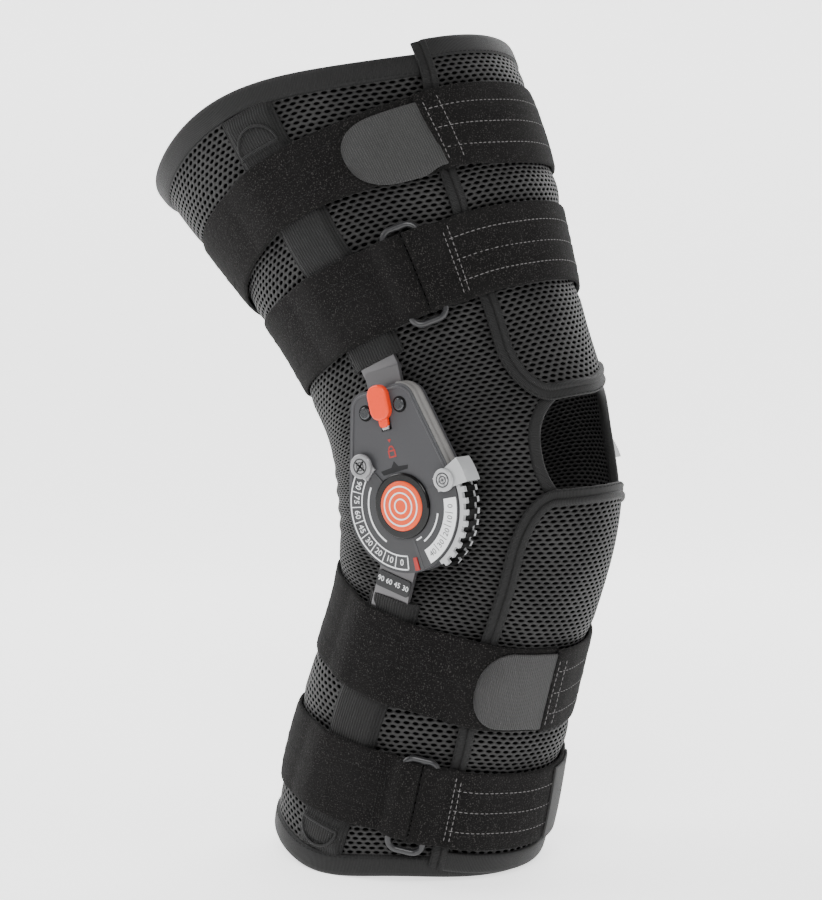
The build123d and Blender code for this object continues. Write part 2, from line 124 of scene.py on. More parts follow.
def section(s):
    """Tilt, centre y, centre z, half-width and half-depth of the leg at s."""
    s = np.asarray(s, float)
    i = np.clip(np.searchsorted(PLACES, s) - 1, 0, len(PLACES) - 2)
    span = (PLACES[i + 1] - PLACES[i])[..., None]
    u = (s - PLACES[i])[..., None] / span
    low = (2 * u**3 - 3 * u**2 + 1) * STATIONS[i] + (u**3 - 2 * u**2 + u) * span * SLOPES[i]
    high = (3 * u**2 - 2 * u**3) * STATIONS[i + 1] + (u**3 - u**2) * span * SLOPES[i + 1]
    return np.moveaxis((low + high)[..., 1:], -1, 0)


def skin(s, turn, lift=0.0):
    """Points on the leg form, grown by lift."""
    s, turn, lift = np.broadcast_arrays(*(np.asarray(v, float) for v in (s, turn, lift)))
    tilt, y, z, a, b = section(s)
    tilt, turn = np.radians(tilt), np.radians(turn)
    back = -(b + lift) * np.sin(turn)
    x = -(a + lift) * np.cos(turn)
    return np.stack([x, y + back * np.cos(tilt), z - back * np.sin(tilt)], -1)


def unit(v):
    return v / np.maximum(np.linalg.norm(v, axis=-1, keepdims=True), 1e-9)


def outward(s, turn, lift=0.0):
    """Unit normals of the leg form."""
    up = skin(s + 1.0, turn, lift) - skin(s - 1.0, turn, lift)
    round_it = skin(s, turn + 0.5, lift) - skin(s, turn - 0.5, lift)
    return unit(np.cross(round_it, up))


def ease(x, low, high):
    t = np.clip((np.asarray(x, float) - low) / (high - low), 0, 1)
    return t * t * (3 - 2 * t)


def bar_turn(s):
    """Turn of the near bar's middle line at s."""
    s = np.asarray(s, float)
    _, y0, z0, _, b = section(s)
    y, z, lean = THIGH_BAR if np.mean(s) > 0 else CALF_BAR
    limb = math.radians(THIGH_TILT if np.mean(s) > 0 else CALF_TILT)
    lean = math.radians(lean)
    along = np.array([math.sin(limb), math.cos(limb)])
    back = np.array([math.cos(limb), -math.sin(limb)])
    bar = np.array([math.sin(lean), math.cos(lean)])
    start = np.array([y, z])
    reach = (s - start @ along) / (bar @ along)
    offset = start @ back + reach * (bar @ back) - (y0 * back[0] + z0 * back[1])
    return -np.degrees(np.arcsin(np.clip(offset / b, -1, 1)))


# Meshes -----------------------------------------------------------------------------------------------

def make_piece(name, points, faces, material, uvs=None, sharp=50.0):
    """A mesh object from points in mm. uvs holds one (u, v) in mm per face corner."""
    mesh = bpy.data.meshes.new(name)
    mesh.from_pydata((np.asarray(points) * MM).tolist(), [], [list(map(int, f)) for f in faces])
    if uvs is not None:
        layer = mesh.uv_layers.new(name="cloth")
        layer.data.foreach_set("uv", np.asarray(uvs, float).ravel())
    mesh.validate()
    mesh.update()
    mesh.polygons.foreach_set("use_smooth", [True] * len(mesh.polygons))
    mesh.set_sharp_from_angle(angle=math.radians(sharp))
    piece = bpy.data.objects.new(name, mesh)
    bpy.context.scene.collection.objects.link(piece)
    mesh.materials.append(material)
    return piece


def quads(grid):
    return np.stack([grid[:-1, :-1], grid[:-1, 1:], grid[1:, 1:], grid[1:, :-1]], -1).reshape(-1, 4)


def strip_quads(first, second):
    return np.stack([first[1:], first[:-1], second[:-1], second[1:]], -1)


def grid_solid(name, outer, inner, uv, material, closed=False):
    """Closed piece between two grids of points; rows run up the limb and columns round it."""
    n, m = outer.shape[:2]
    columns = np.arange(m + 1) % m if closed else np.arange(m)
    out = np.arange(n)[:, None] * m + columns
    corner = np.arange(n * len(columns)).reshape(n, -1)
    low = out + n * m
    faces = [quads(out), quads(low)[:, ::-1]]
    places = [quads(corner), quads(corner)[:, ::-1]]
    sides = [(out[k], low[k], corner[k], flip) for k, flip in ((0, False), (-1, True))]
    if not closed:
        sides += [(out[:, k], low[:, k], corner[:, k], flip) for k, flip in ((0, True), (-1, False))]
    for top, bottom, where, flip in sides:
        strip, place = strip_quads(top, bottom), strip_quads(where, where)
        faces.append(strip[:, ::-1] if flip else strip)
        places.append(place[:, ::-1] if flip else place)
    points = np.concatenate([outer.reshape(-1, 3), inner.reshape(-1, 3)])
    uvs = uv.reshape(-1, 2)[np.concatenate(places).ravel()]
    return make_piece(name, points, np.concatenate(faces), material, uvs)


def cloth_uv(points, closed=False):
    """Lengths along the columns and rows of a grid of points, in mm."""
    if closed:
        points = np.concatenate([points, points[:, :1]], 1)
    steps = np.linalg.norm(np.diff(points, axis=1), axis=-1)
    u = np.concatenate([np.zeros((len(points), 1)), np.cumsum(steps, 1)], 1)
    middle = np.linalg.norm(np.diff(points[:, points.shape[1] // 2], axis=0), axis=-1)
    v = np.concatenate([[0], np.cumsum(middle)])[:, None] + 0 * u
    return np.stack([u - u[:, u.shape[1] // 2, None], v], -1)


def spaced(low, high, step, edge):
    """Places from low to high, closer together at both ends."""
    ends = np.array([0.0, 0.06, 0.2, 0.45, 0.8]) * edge
    count = max(2, int(round((high - low - 2.2 * edge) / step)))
    middle = np.linspace(low + 1.1 * edge, high - 1.1 * edge, count + 1)
    return np.concatenate([low + ends, middle, (high - ends)[::-1]])


def rounded(distance, radius):
    """Thickness share at a distance from an edge, for a round edge."""
    t = np.clip(distance / radius, 0, 1)
    return np.maximum(np.sqrt(1 - (1 - t) ** 2), 0.12)


def sweep(name, centres, normals, profile, material, closed=False):
    """Piece whose closed profile of (across, out) points follows a line on a surface."""
    if closed:
        ahead, behind = np.roll(centres, -1, 0), np.roll(centres, 1, 0)
    else:
        ahead = np.concatenate([centres[1:], centres[-1:] * 2 - centres[-2:-1]])
        behind = np.concatenate([centres[:1] * 2 - centres[1:2], centres[:-1]])
    along = unit(ahead - behind)
    side = unit(np.cross(normals, along))
    normal = unit(np.cross(along, side))
    profile = np.asarray(profile, float)
    rings = centres[:, None] + side[:, None] * profile[None, :, :1] + normal[:, None] * profile[None, :, 1:]
    n, m = rings.shape[:2]
    rows = np.arange(n + 1) % n if closed else np.arange(n)
    index = rows[:, None] * m + (np.arange(m + 1) % m)
    length = np.concatenate([[0], np.cumsum(np.linalg.norm(np.diff(centres, axis=0), axis=1))])
    if closed:
        length = np.append(length, length[-1] + np.linalg.norm(centres[0] - centres[-1]))
    around = np.concatenate([profile, profile[:1]])
    girth = np.concatenate([[0], np.cumsum(np.linalg.norm(np.diff(around, axis=0), axis=1))])
    uv = np.stack(np.broadcast_arrays(length[:, None], girth[None, :]), -1)
    corner = np.arange(len(rows) * (m + 1)).reshape(len(rows), -1)
    faces = [list(f) for f in quads(index)]
    uvs = uv.reshape(-1, 2)[quads(corner).ravel()]
    if not closed:
        faces.append(list(range(m))[::-1])
        faces.append([(n - 1) * m + k for k in range(m)])
        uvs = np.concatenate([uvs, uv[0, :m][::-1], uv[-1, :m]])
    return make_piece(name, rings.reshape(-1, 3), faces, material, uvs, 70.0)


def capsule(width, height, count=14, power=2.6):
    """Closed rounded outline, width across and height out, standing on zero."""
    turn = np.linspace(0, 2 * np.pi, count, endpoint=False)
    c, s = np.cos(turn), np.sin(turn)
    across = np.sign(c) * np.abs(c) ** (2 / power) * width / 2
    out = (np.sign(s) * np.abs(s) ** (2 / power) + 1) * height / 2
    return np.stack([across, out], 1)


def stitch_row(centres, normals, dash=1.9, gap=0.9, width=0.42, height=0.28):
    """Thread dashes along a line, sunk a little into the cloth at their ends."""
    steps = np.linalg.norm(np.diff(centres, axis=0), axis=1)
    length = np.concatenate([[0], np.cumsum(steps)])
    points, faces = [], []
    at = gap
    while at + dash < length[-1]:
        places = at + dash * np.array([0.0, 0.25, 0.75, 1.0]) + RNG.uniform(-0.12, 0.12)
        rows = np.stack([np.interp(places, length, centres[:, k]) for k in range(3)], 1)
        normal = unit(np.array([np.interp(at, length, normals[:, k]) for k in range(3)]))
        side = unit(np.cross(normal, rows[-1] - rows[0]))
        side = unit(side + RNG.uniform(-0.12, 0.12) * unit(rows[-1] - rows[0]))
        base = len(points)
        for row, share in zip(rows, (0.35, 1.0, 1.0, 0.35)):
            for turn in range(6):
                angle = math.pi * turn / 3
                rise = height * share * math.sin(angle) * 0.6 + height * 0.35 * share
                points.append(row + side * width / 2 * share * math.cos(angle) + normal * rise)
        pairs = [(base + k + j, base + k + (j + 1) % 6) for k in (0, 6, 12) for j in range(6)]
        faces += [[a, b, b + 6, a + 6] for a, b in pairs]
        faces.append([base + j for j in range(6)][::-1])
        faces.append([base + 18 + j for j in range(6)])
        at += dash + gap * RNG.uniform(0.8, 1.2)
    return points, faces


def sewn(s, turn, lift, *dash):
    """Stitch row along a line on the leg form."""
    return stitch_row(skin(s, turn, lift), outward(s, turn), *dash)


def join_rows(name, rows, material):
    """One piece from several lists of (points, faces)."""
    points, faces = [], []
    for more_points, more_faces in rows:
        base = len(points)
        points += list(more_points)
        faces += [[base + i for i in f] for f in more_faces]
    return make_piece(name, points, faces, material)


# Materials --------------------------------------------------------------------------------------------

class Finish:
    """One procedural material under construction."""

    def __init__(self, name, roughness, shine=0.5, **sockets):
        self.material = bpy.data.materials.new(name)
        self.material.use_nodes = True
        self.tree = self.material.node_tree
        self.bsdf = self.tree.nodes["Principled BSDF"]
        self.bsdf.inputs["Roughness"].default_value = roughness
        self.bsdf.inputs["Specular IOR Level"].default_value = shine
        for key, value in sockets.items():
            self.bsdf.inputs[key.replace("_", " ")].default_value = value

    def put(self, socket, value):
        if isinstance(value, bpy.types.NodeSocket):
            self.tree.links.new(value, socket)
        elif value is not None:
            socket.default_value = value

    def add(self, kind, *inputs, **settings):
        node = self.tree.nodes.new("ShaderNode" + kind)
        for key, value in settings.items():
            setattr(node, key, value)
        for socket, value in zip(node.inputs, inputs):
            self.put(socket, value)
        return node

    def math(self, operation, a, b=None, c=None):
        return self.add("Math", a, b, c, operation=operation).outputs[0]

    def plus(self, a, b):
        return self.math("ADD", a, b)

    def times(self, a, b):
        return self.math("MULTIPLY", a, b)

    def scaled(self, a, factor, shift):
        return self.math("MULTIPLY_ADD", a, factor, shift)

    def mix(self, share, a, b):
        node = self.add("Mix", data_type="RGBA")
        self.put(node.inputs[0], share)
        self.put(node.inputs[6], a)
        self.put(node.inputs[7], b)
        return node.outputs[2]

    def between(self, value, low, high):
        """0 below low to 1 above high, smoothly."""
        return self.add("MapRange", value, low, high, interpolation_type="SMOOTHSTEP").outputs[0]

    def noise(self, scale, detail=3.0, vector=None):
        vector = vector or self.object_place()
        return self.add("TexNoise", vector, None, scale, detail).outputs[0]

    def object_place(self):
        return self.add("TexCoord").outputs["Object"]

    def cloth(self, wobble=0.0):
        """u and v along the cloth, in mm."""
        uv = self.add("UVMap", uv_map="cloth").outputs[0]
        parts = self.add("SeparateXYZ", uv)
        u, v = parts.outputs[0], parts.outputs[1]
        if wobble:
            drift = self.scaled(self.noise(60.0, 1.0), wobble * 2, -wobble)
            return self.plus(u, drift), self.plus(v, drift)
        return u, v

    def wave(self, value, pitch):
        """Cosine ridges of the given pitch, 0 to 1."""
        turn = self.math("COSINE", self.times(value, 2 * math.pi / pitch))
        return self.scaled(turn, 0.5, 0.5)

    def finish(self, colour=None, height=None, distance=0.0003, strength=1.0, roughness=None):
        self.put(self.bsdf.inputs["Base Color"], colour)
        self.put(self.bsdf.inputs["Roughness"], roughness)
        if height is not None:
            bump = self.add("Bump")
            bump.inputs["Strength"].default_value = strength
            bump.inputs["Distance"].default_value = distance
            self.put(bump.inputs["Height"], height)
            self.put(self.bsdf.inputs["Normal"], bump.outputs[0])
        return self.material


def grey(value, warm=0.0):
    return (value * (1 + warm), value, value * (1 - warm * 0.6), 1)


HOLE_PITCH, HOLE_ROW = 4.7, 2.3
HOLE_HALF_LENGTH, HOLE_HALF_HEIGHT = 1.5, 0.66
HOLE_ROUNDNESS = 1.7


def airmesh(name, thread):
    """Spacer mesh: staggered oval holes between twisted threads over a dark backing, with painted shade in
    the holes and painted highlights on the thread crests.
    """
    m = Finish(name, 0.6)
    u, v = m.cloth(0.5)
    v_row = m.math("DIVIDE", v, HOLE_ROW)
    shift = m.times(m.math("FLOORED_MODULO", m.math("FLOOR", v_row), 2.0), 0.5)
    column = m.plus(m.math("DIVIDE", u, HOLE_PITCH), shift)
    across = m.math("SUBTRACT", m.math("FRACT", column), 0.5)
    down = m.math("SUBTRACT", m.math("FRACT", v_row), 0.5)
    x = m.math("DIVIDE", m.math("ABSOLUTE", across), HOLE_HALF_LENGTH / HOLE_PITCH)
    y = m.math("DIVIDE", m.math("ABSOLUTE", down), HOLE_HALF_HEIGHT / HOLE_ROW)
    reach = m.plus(m.math("POWER", x, HOLE_ROUNDNESS), m.math("POWER", y, HOLE_ROUNDNESS))
    edge = m.scaled(m.noise(900.0, 2.0), 0.5, -0.25)
    solid = m.between(m.plus(reach, edge), 0.75, 1.35)
    dome = m.between(reach, 0.7, 3.0)
    # Painted highlight: the fibre ridges on the thread domes between holes, plus random lighter patches,
    # blend towards a lit copy of the thread colour; the rest takes a shaded copy.
    fibre = m.wave(m.plus(v, m.times(u, 0.35)), 0.42)
    patches = m.between(m.noise(28.0, 2.0), 0.3, 0.75)
    thread_shade, thread_highlight = grey(thread * 0.2, 0.02), grey(thread * 1.75, 0.02)
    highlight_share = m.scaled(m.times(fibre, dome), 0.75, m.times(patches, 0.3))
    # The holes get near-black colour (grey 0.0006): the dark backing with painted shade inside the holes.
    colour = m.mix(solid, grey(0.0006), m.mix(highlight_share, thread_shade, thread_highlight))
    height = m.plus(m.times(dome, 0.6), m.times(solid, 0.5))
    height = m.plus(height, m.times(fibre, 0.12))
    m.put(m.bsdf.inputs["Specular IOR Level"], m.times(solid, 0.22))
    return m.finish(colour, height, 0.0009, 0.9)


def velour(name, base):
    """Brushed loop webbing: matt pile with light fibre specks."""
    m = Finish(name, 0.95, shine=0.05, Sheen_Weight=0.025, Sheen_Roughness=0.5)
    pile = m.noise(1500.0, 4.0)
    tufts = m.noise(420.0, 3.0)
    patches = m.noise(40.0, 2.0)
    speck = m.between(pile, 0.54, 0.7)
    colour = m.mix(m.times(speck, 0.8), grey(base, 0.03), grey(base * 8.0, 0.06))
    colour = m.mix(m.times(m.between(patches, 0.35, 0.7), 0.35), colour, grey(base * 1.9, 0.03))
    height = m.plus(m.times(pile, 0.6), m.times(tufts, 0.8))
    return m.finish(colour, height, 0.0006, 0.7)


def ribbed(name, base, pitch, depth, cross=0.0, sheen=0.01, rough=0.8):
    """Ribbed tape or webbing, with ribs across its length."""
    m = Finish(name, rough, shine=0.22, Sheen_Weight=sheen, Sheen_Roughness=0.4)
    u, v = m.cloth(0.15)
    rib = m.wave(u, pitch)
    weave = m.wave(v, cross or pitch * 0.7)
    fine = m.noise(1400.0, 3.0)
    patches = m.noise(35.0, 2.0)
    # Painted shade and highlight: the colour follows the same rib wave as the bump, darker in the grooves and
    # lighter on the crests, with fine random tone and lighter random patches.
    body = m.scaled(rib, 0.6, m.times(fine, 0.5))
    colour = m.mix(body, grey(base * 0.55, 0.01), grey(base * 1.5, 0.01))
    colour = m.mix(m.times(m.between(patches, 0.4, 0.7), 0.25), colour, grey(base * 1.5))
    height = m.plus(rib, m.times(m.times(weave, rib), 0.4))
    height = m.plus(height, m.times(fine, 0.5))
    return m.finish(colour, height, depth, 0.8)


def moulded(name, colour, rough, grain=900.0, depth=0.00003, speck=0.12, **sockets):
    """Moulded plastic or coated metal: fine grain, slight mottling and worn roughness."""
    m = Finish(name, rough, **sockets)
    fine = m.noise(grain, 3.0)
    broad = m.noise(45.0, 3.0)
    dark = tuple(c * (1 - speck) for c in colour) + (1,)
    light = tuple(min(c * (1 + speck), 1) for c in colour) + (1,)
    blend = m.mix(m.scaled(fine, 0.5, m.times(broad, 0.5)), dark, light)
    worn = m.scaled(broad, 0.22, rough - 0.11)
    return m.finish(blend, fine, depth, 0.6, worn)


def brushed(name, colour, rough, metallic):
    """Rolled bar: fine lengthways brushing with small scratches."""
    m = Finish(name, rough, Metallic=metallic)
    place = m.add("Mapping", m.object_place(), None, None, (1.0, 9.0, 0.6)).outputs[0]
    lines = m.noise(900.0, 4.0, place)
    broad = m.noise(30.0, 2.0)
    shade = m.scaled(lines, 0.55, m.times(broad, 0.45))
    tone = m.mix(shade, tuple(c * 0.8 for c in colour) + (1,), tuple(c * 1.2 for c in colour) + (1,))
    return m.finish(tone, lines, 0.00003, 0.5, m.scaled(lines, 0.2, rough - 0.1))


AIRMESH = airmesh("airmesh", 0.025)
BINDING = ribbed("binding_tape", 0.0065, 0.75, 0.00018, rough=0.6)
VELOUR = velour("strap_loop", 0.0055)
HOOK = ribbed("hook_tape", 0.032, 1.15, 0.0004, 0.55, sheen=0.02, rough=0.7)
WEBBING = ribbed("pocket_webbing", 0.009, 1.5, 0.0004)
THREAD = moulded("stitch_thread", (0.13, 0.125, 0.125), 0.8, 2500.0, 0.00008, 0.4, shine=0.2)
DARK_THREAD = moulded("dark_thread", (0.012, 0.012, 0.012), 0.8, 2500.0, 0.00008, 0.4, shine=0.1)
COVER = moulded("cover_plastic", (0.045, 0.045, 0.048), 0.36, shine=0.3)
SIDE_WALL = moulded("side_wall", (0.16, 0.155, 0.15), 0.4)
DIAL = moulded("dial_face", (0.038, 0.038, 0.04), 0.36, shine=0.3)
BLACK = moulded("black_plastic", (0.003, 0.003, 0.003), 0.4, shine=0.15)
# Dark colour painted as the shade inside a recess (painted shade).
RECESS_SHADE = moulded("recess_shade", (0.012, 0.012, 0.013), 0.5, shine=0.2)
PLATE = moulded("number_plate", (0.018, 0.018, 0.019), 0.4, shine=0.3)
GLOSS_BLACK = moulded("gloss_black", (0.003, 0.003, 0.003), 0.12, shine=0.3)
CLEAR = moulded("clear_plastic", (0.34, 0.345, 0.35), 0.16, 300.0, 0.00004, 0.12, Coat_Weight=0.5)
FROSTED = moulded("frosted_plastic", (0.2, 0.2, 0.205), 0.18, 300.0, 0.00005, 0.2, Coat_Weight=0.5)
ORANGE = moulded("orange_plastic", (0.78, 0.045, 0.008), 0.3, 700.0, 0.00003, 0.1, shine=0.3)
CAP_ORANGE = moulded("cap_orange", (0.72, 0.075, 0.02), 0.3, 700.0, 0.00003, 0.1, shine=0.2)
WHITE = moulded("print_white", (0.72, 0.73, 0.74), 0.5, 1200.0, 0.00001, 0.08)
PRINT_BLACK = moulded("print_black", (0.03, 0.03, 0.032), 0.5, 1200.0, 0.00001, 0.1)
PRINT_RED = moulded("print_red", (0.3, 0.012, 0.008), 0.45, 1200.0, 0.00001, 0.1)
BAR = brushed("upright_metal", (0.11, 0.107, 0.11), 0.38, 0.7)
STEEL = brushed("rivet_steel", (0.06, 0.062, 0.065), 0.25, 0.8)
RING_WIRE = moulded("ring_wire", (0.022, 0.022, 0.023), 0.3, 500.0, 0.00004, 0.2, shine=0.35)


def fabric(piece, slot, *nodes):
    """A soft piece: its placement is baked into the mesh and the CAD nodes it replaces are hidden."""
    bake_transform(piece)
    if nodes:
        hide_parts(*nodes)


def riding(piece, body, slot, *nodes):
    """A piece that moves with one body."""
    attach(piece, body)
    if nodes:
        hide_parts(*nodes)


# Sleeve, flaps and bindings -----------------------------------------------------------------------------

def side_turn(turn):
    """Turn from the nearer side of the leg, forward positive."""
    turn = (np.asarray(turn, float) + 90) % 360 - 90
    return np.where(turn > 90, 180 - turn, turn)


def thigh_rim(turn):
    return 202.4 - 6.4 * np.sin(np.radians(turn)) + 12.5 * np.exp(-(((side_turn(turn) - 4) / 36) ** 2))


def calf_rim(turn):
    return -185.0 + 10.5 * np.sin(np.radians(turn)) - 8.5 * np.exp(-(((side_turn(turn) + 8) / 30) ** 2))


def soft_wave(s, turn):
    """Slight unevenness of worn fabric, in mm."""
    t = np.radians(turn)
    wave = 0.5 * np.sin(3 * t + s * 0.05) + 0.35 * np.sin(5 * t - s * 0.083 + 1.3)
    crease = 0.5 * ease(s, -45, -15) * ease(-s, -50, -10) * np.sin(s * 0.42 + 2.0 * np.sin(2 * t))
    return wave + crease * ease(-np.sin(t), 0.0, 0.8) * 1.6


# Low and high edge of each strap: a constant and its sin(turn) and cos(2 turn) terms
STRAP_EDGES = {
    "upper_thigh_strap": ((138.5, 5.0, 6.5), (175.0, 7.0, 2.5)),
    "lower_thigh_strap": ((79.0, 0.0, 0.5), (119.0, 0.0, 0.5)),
    "upper_calf_strap": ((-98.7, -1.5, -0.3), (-54.8, -3.5, -1.2)),
    "lower_calf_strap": ((-165.3, 5.0, 1.7), (-124.5, 3.8, 1.25)),
}


def strap_edges(name, turn):
    """Low and high edge of a strap at a turn."""
    t = np.radians(turn)
    terms = np.stack([np.ones_like(t), np.sin(t), np.cos(2 * t)], -1)
    return (terms @ np.array(edge) for edge in STRAP_EDGES[name])


def strap_rows(name, turn, across):
    """Places across a strap, 0 at its low edge and 1 at its high edge."""
    low, high = strap_edges(name, turn)
    return low + (high - low) * across


def puff(s, turn):
    """Outward swell of the sleeve between straps, pressed in under them."""
    swell = np.full(np.broadcast(s, turn).shape, 1.3)
    for name in STRAP_EDGES:
        low, high = strap_edges(name, turn + 0 * s)
        inside = ease(s, low - 9, low + 3) * ease(-s, -high - 9, -high + 3)
        swell = swell - 1.9 * inside
    near_rim = ease(s, 180, 200) + ease(-s, 160, 178)
    return swell * (1 - near_rim * 0.6)


def sleeve_lift(s, turn):
    """Height of the sleeve over the leg form, calm where the hinges lie on it."""
    side = np.cos(np.radians(turn)) ** 2
    calm = ease(side, 0.75, 0.97) * ease(s, -60, -30) * ease(-s, -90, -60)
    return (puff(s, turn) + 0.6 * soft_wave(s, turn)) * (1 - calm) - 0.6 * calm


def sleeve():
    turns = np.linspace(-90, 270, 181)[:-1]
    share = np.linspace(0, 1, 151)[:, None]
    low, high = calf_rim(turns), thigh_rim(turns)
    s = low + (high - low) * share
    lift = sleeve_lift(s, turns)
    outer, inner = skin(s, turns, lift), skin(s, turns, lift - SLEEVE_THICK)
    piece = grid_solid("sleeve", outer, inner, cloth_uv(outer, True), AIRMESH, closed=True)
    cutter = kneecap_cutter()
    cut = piece.modifiers.new("kneecap", "BOOLEAN")
    cut.operation, cut.solver, cut.object = "DIFFERENCE", "EXACT", cutter
    bpy.context.view_layer.update()
    whole = piece.evaluated_get(bpy.context.evaluated_depsgraph_get())
    mesh = bpy.data.meshes.new_from_object(whole)
    piece.modifiers.clear()
    piece.data = mesh
    bpy.data.objects.remove(cutter)
    mesh.set_sharp_from_angle(angle=math.radians(50))
    fabric(piece, "airmesh", "thigh_sleeve", "calf_sleeve", "knee_sleeve")


KNEECAP_HALF_WIDTH, KNEECAP_HALF_HEIGHT, KNEECAP_MIDDLE = 33.5, 32.0, 25.0
KNEECAP_ROUNDNESS = 2.3


def kneecap_outline(count=72, grow=0.0):
    """Oval outline of the kneecap opening as (x, z)."""
    turn = np.linspace(0, 2 * np.pi, count, endpoint=False)
    c, s = (np.sign(w) * np.abs(w) ** (2 / KNEECAP_ROUNDNESS) for w in (np.cos(turn), np.sin(turn)))
    return c * (KNEECAP_HALF_WIDTH + grow), s * (KNEECAP_HALF_HEIGHT + grow) + KNEECAP_MIDDLE


def kneecap_cutter():
    x, z = kneecap_outline()
    n = len(x)
    points = [(a, y, b) for y in (-130.0, -20.0) for a, b in zip(x, z)]
    faces = [list(range(n)), list(range(2 * n))[: n - 1 : -1]]
    faces += [[k, n + k, n + (k + 1) % n, (k + 1) % n] for k in range(n)]
    return make_piece("kneecap_cutter", points, faces, BLACK)


def at_front(x, z):
    """(s, turn) of the front points of the leg form at each x and z."""
    s = np.array(z, float)
    turn = np.full(len(s), 90.0)
    for _ in range(12):
        a = section(s)[3]
        turn = np.degrees(np.arccos(np.clip(-x / a, -0.99, 0.99)))
        s = s + (z - skin(s, turn)[..., 2]) * 0.9
    return s, turn


def kneecap_binding():
    s, turn = at_front(*kneecap_outline(96, 0.6))
    centres = skin(s, turn, sleeve_lift(s, turn) - 3.6)
    taped("kneecap_binding", centres, outward(s, turn), capsule(6.5, 4.6, 16), closed=True)
    s, turn = at_front(*kneecap_outline(140, 3.1))
    tape_stitches("kneecap_binding", sewn(s, turn, sleeve_lift(s, turn) + 0.75, 1.9, 0.9, 0.45, 0.3))


def rim_binding(name, rim, node, up):
    """Folded tape over the sleeve's rim, with its stitch line."""
    turns = np.linspace(-90, 270, 181)[:-1]
    s = rim(turns) - up * 4.0
    centres = skin(s, turns, sleeve_lift(s, turns) - 4.4)
    taped(name, centres, outward(s, turns), capsule(11.5, 6.0, 20, 3.4), node, closed=True)
    turns = np.linspace(-90, 270, 361)
    s = rim(turns) - up * 8.2
    tape_stitches(name, sewn(s, turns, sleeve_lift(s, turns) + 1.15, 2.0, 1.0, 0.45, 0.3))


def thigh_slant(t):
    """How far the thigh flap's near edge leans forward, t of the way to the rim."""
    return FLAP_SLANT * ease(t, 0.55, 1.0)


def flap_grid(limb):
    """(s, turn) grids of a front flap; row 0 is its edge by the kneecap."""
    corner = 0.12 * (1 - np.cos(np.linspace(0, np.pi / 2, 14)))
    rows = np.concatenate([corner, np.linspace(0.12, 1, 62)[1:]])
    t, c = np.meshgrid(rows, np.linspace(0, 1, 60), indexing="ij")
    bend = 0.11 if limb == "thigh" else 0.12
    near = FLAP_NEAR[limb] + 13.0 * (1 - np.sqrt(np.clip(1 - (1 - t / bend).clip(0) ** 2, 0, 1)))
    near = near + (thigh_slant(t) if limb == "thigh" else 0.0)
    turn = near + (FLAP_FAR[limb] - near) * c
    edge = 36.5 + 9 * ease(turn, 88, 135) if limb == "thigh" else -3.0 - 5 * ease(turn, 100, 139)
    return edge + (FLAP_END[limb] - edge) * t, turn


def flap_lift(s, turn):
    return np.maximum(sleeve_lift(s, turn), -0.5) + 0.35


def flap(limb):
    """Front flap with its edge piping and stitch line."""
    s, turn = flap_grid(limb)
    if limb == "calf":
        s, turn = s[::-1], turn[::-1]
    lift = flap_lift(s, turn)
    name = limb + "_flap"
    laid_cloth(name, s, turn, lift, lift + FLAP_THICK, AIRMESH, "airmesh", name)
    edge_tape(limb)
    flap_hem(limb)


def laid_cloth(name, s, turn, low, high, material, slot, node):
    """Cloth between two heights over the leg form, laid on another piece."""
    outer, inner = skin(s, turn, high), skin(s, turn, low)
    piece = grid_solid(name, outer, inner, cloth_uv(outer), material)
    fabric(piece, slot, node)


def taped(name, centres, normals, profile, *nodes, closed=False):
    """Binding tape along a line."""
    fabric(sweep(name, centres, normals, profile, BINDING, closed), "binding_tape", *nodes)


def tape_stitches(name, row):
    fabric(join_rows(name + "_stitches", [row], DARK_THREAD), "binding_tape")


def flap_hem(limb):
    """Tape folded over a flap's end at the rim of the brace."""
    start, inward = (63.0, -1) if limb == "thigh" else (46.0, 1)
    turns = np.linspace(start, 140.0, 90)
    s = np.full(90, FLAP_END[limb] + inward * 4.6)
    centres = skin(s, turns, flap_lift(s, turns) - 0.9)
    taped(limb + "_flap_hem", centres, outward(s, turns), capsule(10.5, 4.0, 20, 3.4))
    s = s + inward * 3.9
    tape_stitches(limb + "_flap_hem", sewn(s, turns, flap_lift(s, turns) + 2.75))


def edge_line(limb, inset):
    """Line on a flap, inset mm inside its near, kneecap and far edges."""
    s, turn = (np.concatenate([v[:0:-1, 0], v[0], v[1:, -1]]) for v in flap_grid(limb))
    points = skin(s, turn, flap_lift(s, turn) + FLAP_THICK)
    normal = outward(s, turn)
    side = np.cross(normal, unit(np.gradient(points, axis=0))) * (1 if limb == "calf" else -1)
    return points + side * inset, normal


def edge_tape(limb):
    """Piping round a flap's free edges, the tape beside it and its stitches."""
    points, normal = edge_line(limb, 0.6)
    taped(limb + "_flap_piping", points - normal * 2.7, normal, capsule(4.2, 4.4, 14, 2.3))
    points, normal = edge_line(limb, 4.2)
    profile = capsule(5.2, 1.6, 14, 3.2)
    taped(limb + "_flap_tape", points - normal * 1.0, normal, profile, limb + "_flap_binding")
    points, normal = edge_line(limb, 5.9)
    tape_stitches(limb + "_flap", stitch_row(points + normal * 0.5, normal, 2.2, 0.9, 0.5, 0.34))


# Pockets ------------------------------------------------------------------------------------------------

def pocket_turn(side, s, across):
    """Turn of a point on a pocket, across mm forward of the bar's middle line."""
    turn = bar_turn(s) + np.degrees(across / section(s)[4])
    return turn if side == "lateral" else 180 - turn


def pocket_rise(s, turn):
    """Height of the pockets above the sleeve."""
    near = side_turn(turn)
    total = 0.0
    for limb, (low, high) in POCKETS.items():
        sign = 1.0 if limb == "thigh" else -1.0
        place = np.where(s * sign > 0, s, 100.0 * sign)
        across = np.radians(near - bar_turn(place)) * section(place)[4]
        inside = ease(s, low, low + 5) * ease(-s, -high, -high + 5)
        total = total + 3.6 * ease(-np.abs(across), -16.0, -11.0) * inside
    return total


